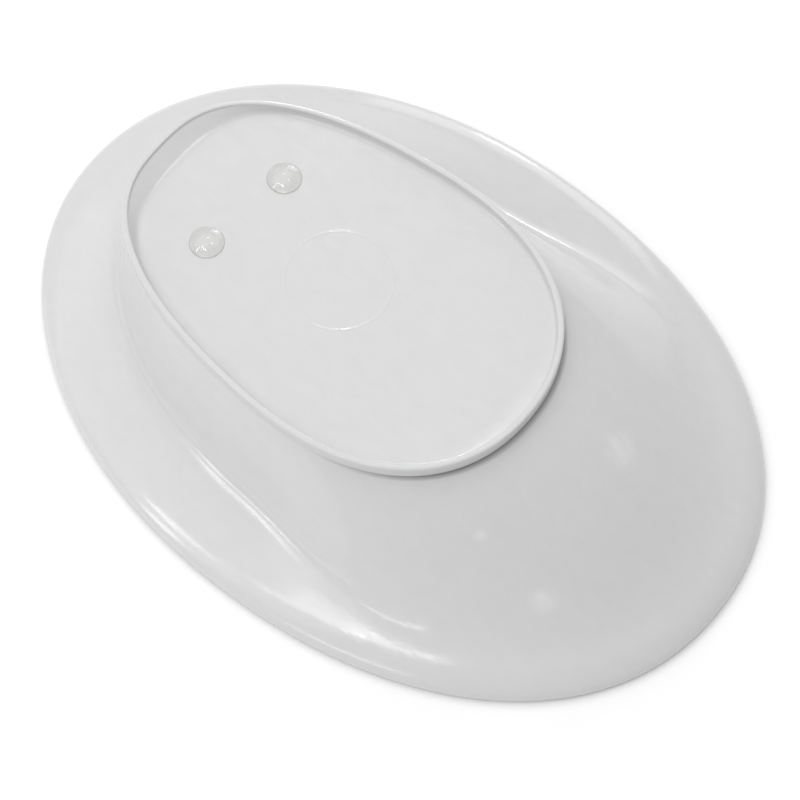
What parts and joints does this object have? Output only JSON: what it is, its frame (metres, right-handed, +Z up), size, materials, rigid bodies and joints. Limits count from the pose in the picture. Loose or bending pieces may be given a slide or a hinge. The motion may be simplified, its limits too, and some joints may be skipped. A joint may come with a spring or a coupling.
{
  "type": "bedpan",
  "caption": "Shallow oval moulded pan lying face down, with a broad flange, one steep end, one long ramp, an off-centre foot ring and clear stick-on bumpers.",
  "frame": {"origin": "on the surface that the rim lies on, at the middle of the pan's length and width", "axes": "+X along the pan towards its long ramp, +Z up towards the foot ring. The pan lies face down, as it is shown and as it drains and stacks. In use it is turned over about X, so that the foot ring is underneath"},
  "size_m": [0.3602, 0.2548, 0.0648],
  "materials": {
    "white_polypropylene": "glossy white moulded polypropylene with faint flow marks",
    "clear_polyurethane": "clear soft polyurethane with a faint green-yellow edge",
    "acrylic_adhesive": "clear pressure-sensitive adhesive film"
  },
  "bodies": {
    "root": {"pan_shell": "white_polypropylene", "left_bumper": "clear_polyurethane", "right_bumper": "clear_polyurethane", "left_adhesive_disc": "acrylic_adhesive", "right_adhesive_disc": "acrylic_adhesive"}
  },
  "joints": []
}
